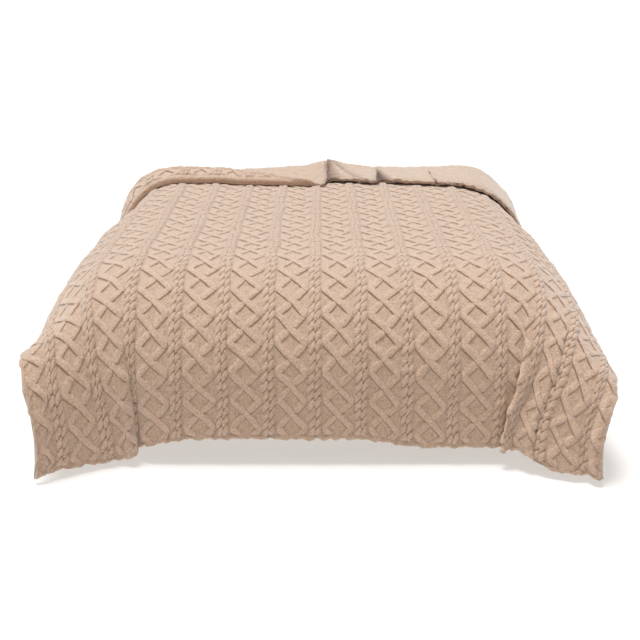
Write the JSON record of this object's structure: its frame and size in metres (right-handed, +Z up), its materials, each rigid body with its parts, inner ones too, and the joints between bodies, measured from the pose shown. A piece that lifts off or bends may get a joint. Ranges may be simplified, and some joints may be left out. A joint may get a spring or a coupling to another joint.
{
  "type": "cooling blanket draped over a bed",
  "caption": "Plush blanket with raised cables and lattice, laid over a plain bed, falling over the foot and sides, its head end turned back.",
  "frame": {"origin": "on the floor, under the middle of the box around the whole object", "axes": "+Z up, +Y from the foot of the bed to its head, +X to the right as seen from the foot"},
  "size_m": [2.05, 1.9458, 0.7392],
  "materials": {
    "beige_plush": "deep soft plush",
    "white_ticking": "matte woven",
    "pale_base": "matte woven"
  },
  "bodies": {
    "root": {"blanket": "beige_plush", "mattress": "white_ticking", "bed_base": "pale_base"}
  },
  "joints": []
}
